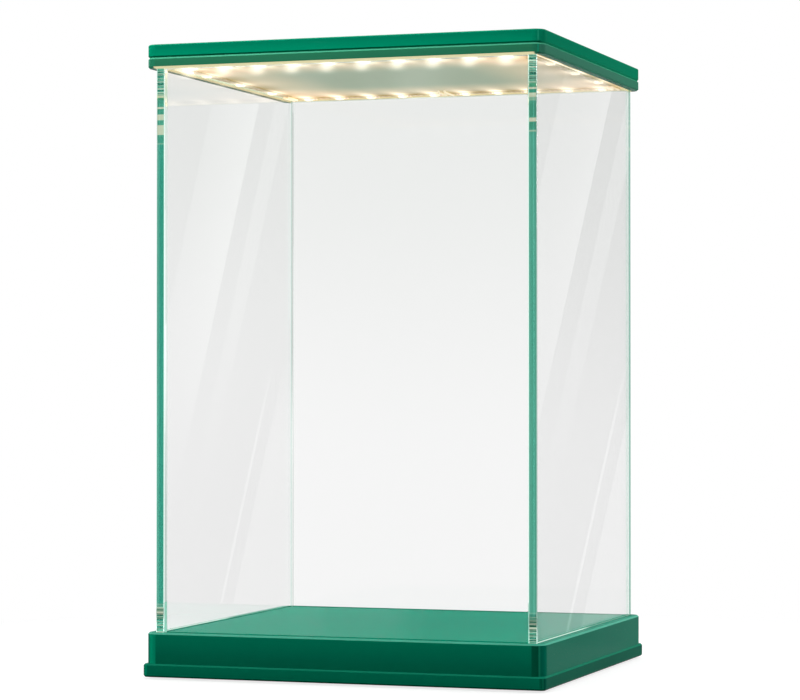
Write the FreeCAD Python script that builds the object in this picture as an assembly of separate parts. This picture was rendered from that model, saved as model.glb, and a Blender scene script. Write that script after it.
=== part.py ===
import FreeCAD, Part
import math
import os

# Display case: green two-tier base, clear four-panel cover that stands in a groove,
# and a lift-off green lid with a lit ceiling. Millimetres, +Z up, front towards -Y,
# origin at the middle of the footprint, on the surface that the feet stand on.

V = FreeCAD.Vector

# Clear cover
COVER_WIDTH = 180.0
COVER_DEPTH = 165.0
PANEL_HEIGHT = 259.0
PANEL_THICKNESS = 4.0

# Base
RIM = 4.0  # how far the block and the lid reach past the cover, all round
LEDGE = 0.8  # how far the plinth reaches past the block
PLINTH_HEIGHT = 6.0
PLINTH_CORNER = 2.5
BLOCK_HEIGHT = 14.0
BLOCK_CORNER = 5.5
GROOVE_DEPTH = 3.0
GROOVE_PLAY = 0.4  # beside each face of a panel
POLISHED_EDGE = 0.7  # bevel along the edges of the green plates

# Feet, partly sunk into the plinth
FOOT_RADIUS = 6.0
FOOT_INSET = 18.0
FOOT_SUNK = 0.6
FOOT_STAND = 1.0
FOOT_PLAY = 0.2

# Screws and inserts that hold the plinth to the block
SCREW_INSET = 32.0
SCREW_RADIUS = 1.95
SCREW_HEAD_RADIUS = 4.0
SCREW_HEAD_SUNK = 0.3
SCREW_GRIP = 7.0  # length of the screw inside the insert
SCREW_PLAY = 0.25
DRIVE_FLATS = 2.5
DRIVE_DEPTH = 1.4
INSERT_RADIUS = 2.9
INSERT_LENGTH = 8.0
INSERT_PLAY = 0.05
INSERT_WELL = 1.0  # empty end of the insert's hole

# Lid
LID_HEIGHT = 6.0
LID_CORNER = 5.0
LID_TOP_ROUND = 0.8
CAVITY_HEIGHT = 2.8  # room for wiring between the ceiling sheet and the lid's upper plate
BAR_WIDTH = 24.0
LID_SEAT = 1.2  # how far the side panels reach up into the lid, which keeps it in place
CEILING_THICKNESS = 1.0
CEILING_RECESS = 1.0  # from the lid's lower face up to the ceiling sheet
CEILING_INSET = 0.8  # from the cover's inner faces to the sheet's edge
CEILING_PLAY = 0.2

# Light strips
STRIP_WIDTH = 5.0
STRIP_THICKNESS = 0.4
STRIP_EDGE = 0.8  # from the ceiling sheet's edge
STRIP_GAP = 0.7  # between strips at the corners
STRIP_METRE = 1000.0  # the length of strip that its lights are counted on
LONG_PITCH = STRIP_METRE / 60  # sixty lights to the metre along the front and back
SIDE_PITCH = STRIP_METRE / 24  # twenty-four to the metre along the sides
LIGHT_SIZE = 3.5
LIGHT_HEIGHT = 0.8
WINDOW_RADIUS = 1.4
WINDOW_DEPTH = 0.3
WINDOW_PLAY = 0.05
RESISTOR_LENGTH = 2.0
RESISTOR_WIDTH = 1.25
RESISTOR_HEIGHT = 0.5
RESISTOR_OFFSET = 3.6  # from its light, towards the strip's middle
PAD_OFFSET = 1.2  # solder pads, from the strip's middle line
PAD_SETBACK = 1.5  # from the strip's end to the end of a jumper

# Leads
LEAD_RADIUS = 0.5
LEAD_SPACING = 3.0
LEAD_BEND = 1.4
LEAD_OVERLAP = 2.0  # length of lead that lies on the board
LEAD_REACH = 5.3  # from the board's front edge to where the leads drop
LEAD_PLAY = 0.3

# Power inlet in the lid's back edge
SOCKET_WIDTH = 8.94
SOCKET_HEIGHT = 3.26
SOCKET_LENGTH = 6.5
SOCKET_WALL = 0.3
SOCKET_END = 0.8
SOCKET_RECESS = 0.2
SOCKET_PLAY = 0.1
TONGUE_WIDTH = 6.7
TONGUE_THICKNESS = 0.7
TONGUE_SETBACK = 1.0
WING_WIDTH = 0.9
WING_LENGTH = 2.0
WING_THICKNESS = 0.3
BOARD_THICKNESS = 0.8
BOARD_DEPTH = 19.0
BOARD_PLAY = 0.2
BOARD_LIFT = 0.1  # adhesive between the ceiling sheet and the board
BEZEL_BACK = 1.2
BEZEL_SIDE = 1.2
INLET_MARGIN = 1.5
INLET_GAP = 2.5
SWITCH_WIDTH = 7.0
SWITCH_DEPTH = 2.7
SWITCH_HEADROOM = 0.5
SWITCH_WALL = 0.3
SWITCH_TRAVEL = 2.0
SLIDER_PLAY = 0.1
SHOE_WIDTH = 2.6
SHOE_DEPTH = 1.5
LEVER_WIDTH = 1.3
LEVER_STAND = 0.7  # how far the lever stands out of the lid
LEVER_PLAY = 0.2

# Heights, from the surface up
plinth_z = FOOT_STAND
block_z = plinth_z + PLINTH_HEIGHT
floor_z = block_z + BLOCK_HEIGHT
panel_z = floor_z - GROOVE_DEPTH
frame_z = panel_z + PANEL_HEIGHT
ceiling_z = frame_z + CEILING_RECESS
ceiling_top = ceiling_z + CEILING_THICKNESS
lid_z = ceiling_top + CAVITY_HEIGHT
strip_z = ceiling_z - STRIP_THICKNESS
lead_z = strip_z - LEAD_RADIUS

# Half sizes in plan
cover_x = COVER_WIDTH / 2
cover_y = COVER_DEPTH / 2
inner_x = cover_x - PANEL_THICKNESS
inner_y = cover_y - PANEL_THICKNESS
rim_x = cover_x + RIM
rim_y = cover_y + RIM
plinth_x = rim_x + LEDGE
plinth_y = rim_y + LEDGE
ceiling_x = inner_x - CEILING_INSET
ceiling_y = inner_y - CEILING_INSET
strip_inset = CEILING_INSET + STRIP_EDGE + STRIP_WIDTH / 2
strip_x = inner_x - strip_inset
strip_y = inner_y - strip_inset

# Places along the inlet, which is centred on the lid's back edge
inlet_width = 2 * (BEZEL_SIDE + INLET_MARGIN) + SOCKET_WIDTH + INLET_GAP + SWITCH_WIDTH
inlet_x = inlet_width / 2
socket_x = -inlet_x + BEZEL_SIDE + INLET_MARGIN + SOCKET_WIDTH / 2
switch_x = inlet_x - BEZEL_SIDE - INLET_MARGIN - SWITCH_WIDTH / 2
bezel_front = ceiling_y + CEILING_PLAY
bezel_inside = rim_y - BEZEL_BACK
board_z = ceiling_top + BOARD_LIFT
board_top = board_z + BOARD_THICKNESS
board_back = bezel_inside - BOARD_PLAY
board_front = board_back - BOARD_DEPTH
socket_z = board_z + BOARD_THICKNESS / 2
socket_mouth = rim_y - SOCKET_RECESS
socket_back = socket_mouth - SOCKET_LENGTH
switch_height = lid_z - SWITCH_HEADROOM - board_top
shoe_height = switch_height - 2 * (SWITCH_WALL + SLIDER_PLAY)
lever_z = board_top + switch_height / 2
lead_drop = board_front - LEAD_REACH

CORNERS = {
    "front_left": (-1, -1),
    "front_right": (1, -1),
    "back_left": (-1, 1),
    "back_right": (1, 1),
}
SIDES = ("back", "left", "front", "right")  # in quarter turns from the back
LONG_SIDES = ("back", "front")
SNAP = 0.001  # how near an edge's height must be to the height looked for


def save(node, *solids):
    shape = solids[0] if len(solids) == 1 else Part.makeCompound(list(solids))
    shape.exportStep(f"parts/{node}.step")


def brick(x, y, z):
    """A box between two values on each axis."""
    return Part.makeBox(x[1] - x[0], y[1] - y[0], z[1] - z[0], V(x[0], y[0], z[0]))


def centred(half_x, half_y, z):
    return brick((-half_x, half_x), (-half_y, half_y), z)


def rounded_plate(half_x, half_y, z, corner):
    """A plate centred on the origin, with its upright corners rounded."""
    plate = centred(half_x, half_y, z)
    upright = [e for e in plate.Edges if abs(e.Vertexes[0].Z - e.Vertexes[1].Z) > SNAP]
    return plate.makeFillet(corner, upright)


def rim_edges(plate, z):
    """The edges of a plate that lie at one height."""
    return [e for e in plate.Edges if all(abs(v.Z - z) < SNAP for v in e.Vertexes)]


def bevelled(plate, *heights):
    for z in heights:
        plate = plate.makeChamfer(POLISHED_EDGE, rim_edges(plate, z))
    return plate


def prism(points, z):
    """An upright prism on a closed outline of (x, y) points."""
    outline = Part.makePolygon([V(x, y, z[0]) for x, y in points + points[:1]])
    return Part.Face(outline).extrude(V(0, 0, z[1] - z[0]))


def turned(shape, side):
    """Turns a shape that was made at the back round to another side."""
    shape.rotate(V(0, 0, 0), V(0, 0, 1), 90 * SIDES.index(side))
    return shape


def rod(radius, start, end):
    along = V(*end) - V(*start)
    return Part.makeCylinder(radius, along.Length, V(*start), along)


def stadium(x, z, width, height, y):
    """A bar along Y whose section is a slot with round ends."""
    radius = height / 2
    straight = width / 2 - radius
    left, right = x - straight, x + straight
    top = Part.LineSegment(V(left, y[0], z + radius), V(right, y[0], z + radius))
    bottom = Part.LineSegment(V(right, y[0], z - radius), V(left, y[0], z - radius))
    ends = [
        Part.Arc(V(right, y[0], z + radius), V(right + radius, y[0], z), V(right, y[0], z - radius)),
        Part.Arc(V(left, y[0], z - radius), V(left - radius, y[0], z), V(left, y[0], z + radius)),
    ]
    outline = Part.Wire([top.toShape(), ends[0].toShape(), bottom.toShape(), ends[1].toShape()])
    return Part.Face(outline).extrude(V(0, y[1] - y[0], 0))


def corner_points(inset):
    """One point near each corner of the plinth."""
    return [(sx * (plinth_x - inset), sy * (plinth_y - inset)) for sx, sy in CORNERS.values()]


def make_plinth():
    plinth = rounded_plate(plinth_x, plinth_y, (plinth_z, block_z), PLINTH_CORNER)
    plinth = bevelled(plinth, plinth_z, block_z)
    hole_radius = SCREW_RADIUS + SCREW_PLAY
    sink_radius = SCREW_HEAD_RADIUS + SCREW_HEAD_SUNK + SCREW_PLAY
    for x, y in corner_points(FOOT_INSET):
        well = Part.makeCylinder(FOOT_RADIUS + FOOT_PLAY, FOOT_SUNK, V(x, y, plinth_z))
        plinth = plinth.cut(well)
    for x, y in corner_points(SCREW_INSET):
        hole = Part.makeCylinder(hole_radius, PLINTH_HEIGHT, V(x, y, plinth_z))
        sink = Part.makeCone(sink_radius, hole_radius, sink_radius - hole_radius, V(x, y, plinth_z))
        plinth = plinth.cut(hole.fuse(sink))
    return plinth


def make_block():
    block = rounded_plate(rim_x, rim_y, (block_z, floor_z), BLOCK_CORNER)
    block = bevelled(block, floor_z)
    reach = PANEL_THICKNESS + GROOVE_PLAY
    outer = centred(cover_x + GROOVE_PLAY, cover_y + GROOVE_PLAY, (panel_z, floor_z))
    island = centred(cover_x - reach, cover_y - reach, (panel_z, floor_z))
    block = block.cut(outer.cut(island))
    for x, y in corner_points(SCREW_INSET):
        depth = INSERT_LENGTH + INSERT_WELL
        block = block.cut(Part.makeCylinder(INSERT_RADIUS, depth, V(x, y, block_z)))
    return block


def make_screw(x, y):
    """A countersunk screw, head down, with a hexagonal drive."""
    head_z = plinth_z + SCREW_HEAD_SUNK
    taper = SCREW_HEAD_RADIUS - SCREW_RADIUS
    tip = block_z + SCREW_GRIP
    head = Part.makeCone(SCREW_HEAD_RADIUS, SCREW_RADIUS, taper, V(x, y, head_z))
    shank = Part.makeCylinder(SCREW_RADIUS, tip - head_z, V(x, y, head_z))
    reach = DRIVE_FLATS / math.sqrt(3)
    hexagon = [
        (x + reach * math.cos(math.radians(60 * k)), y + reach * math.sin(math.radians(60 * k)))
        for k in range(6)
    ]
    return head.fuse(shank).cut(prism(hexagon, (head_z, head_z + DRIVE_DEPTH))).removeSplitter()


def make_insert(x, y):
    outer = Part.makeCylinder(INSERT_RADIUS - INSERT_PLAY, INSERT_LENGTH, V(x, y, block_z))
    bore = Part.makeCylinder(SCREW_RADIUS + INSERT_PLAY, INSERT_LENGTH, V(x, y, block_z))
    return outer.cut(bore)


def make_base():
    save("base_plinth", make_plinth())
    save("base_block", make_block())
    save("base_screws", *[make_screw(x, y) for x, y in corner_points(SCREW_INSET)])
    save("base_inserts", *[make_insert(x, y) for x, y in corner_points(SCREW_INSET)])
    for (name, _), (x, y) in zip(CORNERS.items(), corner_points(FOOT_INSET)):
        save(f"foot_{name}", Part.makeCylinder(FOOT_RADIUS, FOOT_STAND + FOOT_SUNK, V(x, y, 0)))


def make_cover():
    """Full-depth side panels that reach into the lid, with the front and back panels between them."""
    for name, sign in (("left", -1), ("right", 1)):
        faces = sorted((sign * inner_x, sign * cover_x))
        save(f"{name}_panel", brick(faces, (-cover_y, cover_y), (panel_z, frame_z + LID_SEAT)))
    for name, sign in (("front", -1), ("back", 1)):
        faces = sorted((sign * inner_y, sign * cover_y))
        save(f"{name}_panel", brick((-inner_x, inner_x), faces, (panel_z, frame_z)))


def make_frame():
    """Four mitred bars with a rabbet for the ceiling sheet and seats for the side panels; the back bar is
    parted by the inlet."""
    height = (frame_z, lid_z)
    ring = bevelled(rounded_plate(rim_x, rim_y, height, LID_CORNER), frame_z, lid_z)
    ring = ring.cut(centred(rim_x - BAR_WIDTH, rim_y - BAR_WIDTH, height))
    rabbet = (frame_z, ceiling_top)
    ring = ring.cut(centred(ceiling_x + CEILING_PLAY, ceiling_y + CEILING_PLAY, rabbet))
    reach = cover_y + GROOVE_PLAY
    for sign in (-1, 1):
        across = sorted((sign * ceiling_x, sign * (cover_x + GROOVE_PLAY)))
        ring = ring.cut(brick(across, (-reach, reach), (frame_z, frame_z + LID_SEAT)))
    over = 1.0
    out_x, out_y = rim_x + over, rim_y + over
    in_x, in_y = rim_x - BAR_WIDTH - over, rim_y - BAR_WIDTH - over
    for name, sign in (("left", -1), ("right", 1)):
        a, b = sign * out_x, sign * in_x
        save(f"frame_{name}", ring.common(prism([(a, -out_y), (b, -in_y), (b, in_y), (a, out_y)], height)))
    across = [(-out_x, out_y), (-in_x, in_y), (in_x, in_y), (out_x, out_y)]
    save("frame_front", ring.common(prism([(x, -y) for x, y in across], height)))
    back = ring.common(prism(across, height))
    save("frame_back_left", back.common(brick((-out_x, -inlet_x), (0, out_y), height)))
    save("frame_back_right", back.common(brick((inlet_x, out_x), (0, out_y), height)))


def make_lid_top():
    top = lid_z + LID_HEIGHT
    plate = rounded_plate(rim_x, rim_y, (lid_z, top), LID_CORNER)
    plate = bevelled(plate, lid_z)
    save("lid_top", plate.makeFillet(LID_TOP_ROUND, rim_edges(plate, top)))


def make_ceiling():
    """Pale sheet in the frame's rabbet, with a slot where the feed leads drop through."""
    sheet = centred(ceiling_x, ceiling_y, (ceiling_z, ceiling_top))
    half = LEAD_SPACING / 2 + LEAD_RADIUS + LEAD_PLAY
    slot_x = (feed_x() - half, feed_x() + half)
    slot_y = (lead_drop - LEAD_RADIUS - LEAD_PLAY, lead_drop + LEAD_BEND + LEAD_PLAY)
    save("ceiling_sheet", sheet.cut(brick(slot_x, slot_y, (ceiling_z, ceiling_top))))


def strip_pitch(side):
    return LONG_PITCH if side in LONG_SIDES else SIDE_PITCH


def strip_count(side):
    """How many whole pitches of strip fit along a side."""
    long_room = ceiling_x - STRIP_GAP
    side_room = strip_y - STRIP_WIDTH / 2 - STRIP_GAP
    return int(2 * (long_room if side in LONG_SIDES else side_room) / strip_pitch(side))


def strip_half(side):
    return strip_count(side) * strip_pitch(side) / 2


def feed_x():
    """The gap between two lights of the back strip that is nearest to its middle."""
    return strip_count("back") % 2 * LONG_PITCH / 2


def make_light(x, y):
    """One light package facing down, and the window in its cup."""
    low = strip_z - LIGHT_HEIGHT
    half = LIGHT_SIZE / 2
    package = brick((x - half, x + half), (y - half, y + half), (low, strip_z))
    package = package.cut(Part.makeCylinder(WINDOW_RADIUS, WINDOW_DEPTH, V(x, y, low)))
    sunk = V(x, y, low + WINDOW_PLAY)
    window = Part.makeCylinder(WINDOW_RADIUS - WINDOW_PLAY, WINDOW_DEPTH - WINDOW_PLAY, sunk)
    return package, window


def make_strip(side):
    line = strip_y if side in LONG_SIDES else strip_x
    half, width = strip_half(side), STRIP_WIDTH / 2
    strip = brick((-half, half), (line - width, line + width), (strip_z, ceiling_z))
    packages, windows, resistors = [], [], []
    for k in range(strip_count(side)):
        x = (k + 0.5) * strip_pitch(side) - half
        package, window = make_light(x, line)
        middle = x - math.copysign(RESISTOR_OFFSET, x)
        ends = (middle - RESISTOR_LENGTH / 2, middle + RESISTOR_LENGTH / 2)
        faces = (line - RESISTOR_WIDTH / 2, line + RESISTOR_WIDTH / 2)
        packages.append(turned(package, side))
        windows.append(turned(window, side))
        resistors.append(turned(brick(ends, faces, (strip_z - RESISTOR_HEIGHT, strip_z)), side))
    save(f"light_strip_{side}", turned(strip, side))
    save(f"lights_{side}", *packages)
    save(f"light_windows_{side}", *windows)
    save(f"resistors_{side}", *resistors)


def make_jumpers(corner):
    """Two straight leads from the end of a long strip to the end of a side strip."""
    sx, sy = CORNERS[corner]
    side_end = sy * (strip_half("left") - PAD_SETBACK)
    leads = []
    for offset in (-PAD_OFFSET, PAD_OFFSET):
        x = sx * (strip_x + offset)
        long_end = sy * (strip_y + offset)
        leads.append(rod(LEAD_RADIUS, (x, side_end, lead_z), (x, long_end, lead_z)))
    save(f"jumpers_{corner}", *leads)


def make_feed_lead(name, x, pad_y):
    """From the board over its front edge, down through the ceiling and back to a pad."""
    high = board_top + LEAD_RADIUS
    bend, slant = LEAD_BEND, LEAD_BEND * (1 - math.sqrt(0.5))
    start = V(x, board_front + LEAD_OVERLAP, high)
    into = V(x, lead_drop + bend, high)
    turn_high = V(x, lead_drop + slant, high - slant)
    fall = V(x, lead_drop, high - bend)
    rise = V(x, lead_drop, lead_z + bend)
    turn_low = V(x, lead_drop + slant, lead_z + slant)
    out = V(x, lead_drop + bend, lead_z)
    end = V(x, pad_y, lead_z)
    path = Part.Wire([
        Part.LineSegment(start, into).toShape(),
        Part.Arc(into, turn_high, fall).toShape(),
        Part.LineSegment(fall, rise).toShape(),
        Part.Arc(rise, turn_low, out).toShape(),
        Part.LineSegment(out, end).toShape(),
    ])
    section = Part.Wire(Part.makeCircle(LEAD_RADIUS, start, V(0, 1, 0)))
    lead = path.makePipeShell([section], True, False)
    print(name, "volume over section times length:", lead.Volume / (math.pi * LEAD_RADIUS**2 * path.Length))
    save(name, lead)


def make_bezel():
    """Tray in the gap of the back bar: floor, low sides, and a back wall with two openings."""
    floor_top = socket_z - SOCKET_HEIGHT / 2 - SOCKET_PLAY
    bezel = brick((-inlet_x, inlet_x), (bezel_front, rim_y), (frame_z, lid_z))
    inside = inlet_x - BEZEL_SIDE
    bezel = bezel.cut(brick((-inside, inside), (bezel_front, bezel_inside), (floor_top, lid_z)))
    bezel = bezel.cut(brick((-inlet_x, inlet_x), (bezel_front, bezel_inside), (board_z, lid_z)))
    hole_width = SOCKET_WIDTH + 2 * SOCKET_PLAY
    hole_height = SOCKET_HEIGHT + 2 * SOCKET_PLAY
    bezel = bezel.cut(stadium(socket_x, socket_z, hole_width, hole_height, (bezel_inside, rim_y)))
    half = (LEVER_WIDTH + SWITCH_TRAVEL) / 2 + LEVER_PLAY
    tall = shoe_height / 2 + LEVER_PLAY
    slot_z = (lever_z - tall, lever_z + tall)
    slot = brick((switch_x - half, switch_x + half), (bezel_inside, rim_y), slot_z)
    save("inlet_bezel", bezel.cut(slot))


def make_board():
    half = inlet_x - BOARD_PLAY
    board = brick((-half, half), (board_front, board_back), (board_z, board_top))
    reach = SOCKET_WIDTH / 2 + SOCKET_PLAY
    bay_x = (socket_x - reach, socket_x + reach)
    bay_y = (socket_back - SOCKET_PLAY, board_back)
    save("power_board", board.cut(brick(bay_x, bay_y, (board_z, board_top))))


def make_socket():
    """Shell let into the board's bay, carried by a wing on each side, and the tongue in it."""
    shell = stadium(socket_x, socket_z, SOCKET_WIDTH, SOCKET_HEIGHT, (socket_back, socket_mouth))
    tongue_root = socket_back + SOCKET_END
    hollow_width = SOCKET_WIDTH - 2 * SOCKET_WALL
    hollow_height = SOCKET_HEIGHT - 2 * SOCKET_WALL
    wing_y = (tongue_root, tongue_root + WING_LENGTH)
    wing_z = (board_top, board_top + WING_THICKNESS)
    reach = SOCKET_WIDTH / 2 + WING_WIDTH
    shell = shell.fuse(brick((socket_x - reach, socket_x + reach), wing_y, wing_z))
    hollow = stadium(socket_x, socket_z, hollow_width, hollow_height, (tongue_root, socket_mouth))
    save("socket_shell", shell.cut(hollow).removeSplitter())
    half_x, half_z = TONGUE_WIDTH / 2, TONGUE_THICKNESS / 2
    length = (tongue_root, socket_mouth - TONGUE_SETBACK)
    tongue_x = (socket_x - half_x, socket_x + half_x)
    save("socket_tongue", brick(tongue_x, length, (socket_z - half_z, socket_z + half_z)))


def make_switch():
    """Body with a track for the slider's shoe; the lever passes out through the bezel."""
    half = SWITCH_WIDTH / 2
    body_y = (board_back - SWITCH_DEPTH, board_back)
    body_z = (board_top, board_top + switch_height)
    body = brick((switch_x - half, switch_x + half), body_y, body_z)
    shoe_back = board_back - SWITCH_WALL - SLIDER_PLAY
    shoe_front = shoe_back - SHOE_DEPTH
    track = (SHOE_WIDTH + SWITCH_TRAVEL) / 2 + SLIDER_PLAY
    track_y = (shoe_front - SLIDER_PLAY, shoe_back + SLIDER_PLAY)
    tall = shoe_height / 2 + SLIDER_PLAY
    track_z = (lever_z - tall, lever_z + tall)
    mouth = (LEVER_WIDTH + SWITCH_TRAVEL) / 2 + SLIDER_PLAY
    body = body.cut(brick((switch_x - track, switch_x + track), track_y, track_z))
    body = body.cut(brick((switch_x - mouth, switch_x + mouth), (shoe_back, board_back), track_z))
    save("switch_body", body)
    at = switch_x - SWITCH_TRAVEL / 2
    slider_z = (lever_z - shoe_height / 2, lever_z + shoe_height / 2)
    shoe = brick((at - SHOE_WIDTH / 2, at + SHOE_WIDTH / 2), (shoe_front, shoe_back), slider_z)
    lever_y = (shoe_back, rim_y + LEVER_STAND)
    lever = brick((at - LEVER_WIDTH / 2, at + LEVER_WIDTH / 2), lever_y, slider_z)
    save("switch_slider", shoe.fuse(lever).removeSplitter())


def make_lid():
    make_lid_top()
    make_frame()
    make_ceiling()
    for side in SIDES:
        make_strip(side)
    for corner in ("back_left", "back_right", "front_left"):
        make_jumpers(corner)
    make_feed_lead("feed_lead_positive", feed_x() + LEAD_SPACING / 2, strip_y + PAD_OFFSET)
    make_feed_lead("feed_lead_negative", feed_x() - LEAD_SPACING / 2, strip_y - PAD_OFFSET)
    make_bezel()
    make_board()
    make_socket()
    make_switch()


os.makedirs("parts", exist_ok=True)
make_base()
make_cover()
make_lid()
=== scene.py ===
import math

import bmesh
import bpy
from mathutils import Matrix, Vector


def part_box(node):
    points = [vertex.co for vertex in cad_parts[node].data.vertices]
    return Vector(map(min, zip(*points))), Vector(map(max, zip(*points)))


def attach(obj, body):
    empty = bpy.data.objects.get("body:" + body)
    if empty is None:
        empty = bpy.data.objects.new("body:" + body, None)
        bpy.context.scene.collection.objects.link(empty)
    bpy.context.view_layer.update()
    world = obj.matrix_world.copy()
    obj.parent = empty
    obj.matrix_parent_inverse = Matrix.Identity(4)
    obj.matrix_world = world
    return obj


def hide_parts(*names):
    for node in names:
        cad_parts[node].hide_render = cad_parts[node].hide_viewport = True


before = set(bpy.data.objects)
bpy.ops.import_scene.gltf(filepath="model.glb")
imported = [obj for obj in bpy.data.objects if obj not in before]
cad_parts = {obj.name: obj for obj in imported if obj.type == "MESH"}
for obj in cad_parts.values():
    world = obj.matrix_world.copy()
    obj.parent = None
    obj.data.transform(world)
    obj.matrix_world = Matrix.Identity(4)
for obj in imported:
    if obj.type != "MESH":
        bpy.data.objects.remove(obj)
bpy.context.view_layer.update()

# Looks of a display case: green acrylic base and lid, clear panels with tinted edges, and a lit ceiling.
# Metres, +Z up, front towards -Y, as in the frame.

MM = 0.001

# Camera, as the photograph was taken
VIEW_YAW = math.radians(18.86)
VIEW_PITCH = math.radians(-0.717)
VIEW_DISTANCE = 1.3477
VIEW_TARGET = Vector((-0.0011, 0, 0.1497))
VIEW_LENS = 128.53
SENSOR_WIDTH = 36.0

# Lights in the ceiling: how many there are to a row, and the places that follow from the frame
LONG_LIGHTS = 10
SIDE_LIGHTS = 3
long_low, long_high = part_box("lights_back")
side_low, side_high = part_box("lights_right")
light_size = long_high.y - long_low.y
light_height = long_high.z - long_low.z
long_line = (long_low.y + long_high.y) / 2
side_line = (side_low.x + side_high.x) / 2
long_pitch = (long_high.x - long_low.x - light_size) / (LONG_LIGHTS - 1)
side_pitch = (side_high.y - side_low.y - light_size) / (SIDE_LIGHTS - 1)
strip_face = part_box("light_strip_back")[0].z
window_low, window_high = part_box("light_windows_back")

# Clear panels
inner_face, outer_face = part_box("right_panel")[0].x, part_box("right_panel")[1].x
panel_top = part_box("front_panel")[1].z
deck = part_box("base_block")[1].z
PANE_GAP = 0.05 * MM
PANE_BEVEL = 0.35 * MM
ACRYLIC_IOR = 1.49
PANE_IOR = 1.25


def colour(red, green, blue):
    """A colour given as it looks on a screen, from 0 to 255, as the linear one that shaders use."""
    parts = [value / 255 for value in (red, green, blue)]
    linear = [v / 12.92 if v < 0.04045 else ((v + 0.055) / 1.055) ** 2.4 for v in parts]
    return (*linear, 1.0)


class Field:
    """One output socket of a node. Arithmetic on fields adds Math nodes."""

    def __init__(self, nodes, socket):
        self.nodes = nodes
        self.socket = socket

    def other(self, name):
        """Another output of the same node."""
        return Field(self.nodes, self.socket.node.outputs[name])

    def maths(self, operation, *values):
        return self.nodes.add("ShaderNodeMath", {"operation": operation}, dict(enumerate(values)))

    def __add__(self, value):
        return self.maths("ADD", self, value)

    __radd__ = __add__

    def __sub__(self, value):
        return self.maths("SUBTRACT", self, value)

    def __rsub__(self, value):
        return self.maths("SUBTRACT", value, self)

    def __mul__(self, value):
        return self.maths("MULTIPLY", self, value)

    __rmul__ = __mul__

    def __truediv__(self, value):
        return self.maths("DIVIDE", self, value)

    def __rtruediv__(self, value):
        return self.maths("DIVIDE", value, self)

    def __abs__(self):
        return self.maths("ABSOLUTE", self)


class Nodes:
    """A node tree that is being written."""

    def __init__(self, tree):
        self.tree = tree
        self.tree.nodes.clear()

    def add(self, kind, settings=None, sockets=None, out=0):
        """One node: its settings first, then the values or links of its sockets."""
        made = self.tree.nodes.new(kind)
        for key, value in (settings or {}).items():
            if key == "stops":
                ramp = made.color_ramp.elements
                for _ in range(len(value) - len(ramp)):
                    ramp.new(1.0)
                for element, (position, shade) in zip(ramp, value):
                    element.position = position
                    element.color = shade
            else:
                setattr(made, key, value)
        for key, value in (sockets or {}).items():
            for one in value if isinstance(value, list) else [value]:
                if isinstance(one, Field):
                    self.tree.links.new(one.socket, made.inputs[key])
                else:
                    made.inputs[key].default_value = one
        return Field(self, made.outputs[out]) if made.outputs else None


class Finish(Nodes):
    """A material that is being written, with the patterns that several finishes share."""

    def __init__(self, name):
        self.material = bpy.data.materials.new(name)
        self.material.use_nodes = True
        super().__init__(self.material.node_tree)
        self.place = self.add("ShaderNodeTexCoord", out="Object")

    def axes(self):
        split = self.add("ShaderNodeSeparateXYZ", None, {0: self.place})
        return split, split.other("Y"), split.other("Z")

    def noise(self, scale, detail=2.0, stretch=None):
        """Noise with features of about 1 / scale metres; stretch scales the three axes."""
        where = self.place
        if stretch:
            where = self.add("ShaderNodeMapping", None, {"Vector": where, "Scale": stretch})
        return self.add("ShaderNodeTexNoise", None, {"Vector": where, "Scale": scale, "Detail": detail})

    def noise_along(self, value, scale):
        """Noise that varies along one value only."""
        sockets = {"W": value, "Scale": scale, "Detail": 1.0}
        return self.add("ShaderNodeTexNoise", {"noise_dimensions": "1D"}, sockets)

    def step(self, value, start, end, low=0.0, high=1.0):
        """A smooth rise from low at start to high at end."""
        sockets = {"Value": value, "From Min": start, "From Max": end, "To Min": low, "To Max": high}
        return self.add("ShaderNodeMapRange", {"interpolation_type": "SMOOTHSTEP"}, sockets)

    def blend(self, factor, first, second):
        """A colour between two colours."""
        return self.add("ShaderNodeMix", {"data_type": "RGBA"}, {0: factor, 6: first, 7: second}, out=2)

    def ramp(self, factor, *stops):
        return self.add("ShaderNodeValToRGB", {"stops": stops}, {"Fac": factor})

    def bump(self, height, strength, distance):
        sockets = {"Height": height, "Strength": strength, "Distance": distance}
        return self.add("ShaderNodeBump", None, sockets)

    def facing(self):
        """How far a face looks along each axis, from -1 to 1."""
        split = self.add("ShaderNodeSeparateXYZ", None, {0: self.add("ShaderNodeNewGeometry", out="Normal")})
        return split, split.other("Y"), split.other("Z")

    def band(self, value, start, end, soft):
        """1 between start and end, with soft borders."""
        return self.step(value, start - soft, start + soft) * self.step(value, end + soft, end - soft)

    def principled(self, **sockets):
        named = {key.replace("_", " "): value for key, value in sockets.items()}
        return self.add("ShaderNodeBsdfPrincipled", None, named)

    def done(self, surface):
        self.add("ShaderNodeOutputMaterial", None, {"Surface": surface})
        return self.material


# Spreads along x and y of the spot and the halo on the ceiling at each light of the long and the side rows,
# and of the shine on the front panel, and how far that runs down
LONG_SPOT, LONG_HALO = (3.4 * MM, 9.0 * MM), (5.5 * MM, 22.0 * MM)
SIDE_SPOT, SIDE_HALO = (4.0 * MM, 9.0 * MM), (14.0 * MM, 12.0 * MM)
PANEL_SHINE, SHINE_DROP = (3.4 * MM, 6.0 * MM), 5.8 * MM

# Distances from a row: where its wash ends, up to where that is full, and where the ceiling's painted
# olive shade ends
ROW_REACH, ROW_FULL = 48.0 * MM, 12.0 * MM
OLIVE_REACH = 16.0 * MM

# Red, green and blue of the wash beside a row, and of the spot and the halo at each of its lights
WASH = ((0.27, 1.2, 0.34), (0.14, 1.15, 0.26), (0.07, 1.0, 0.22))


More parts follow.
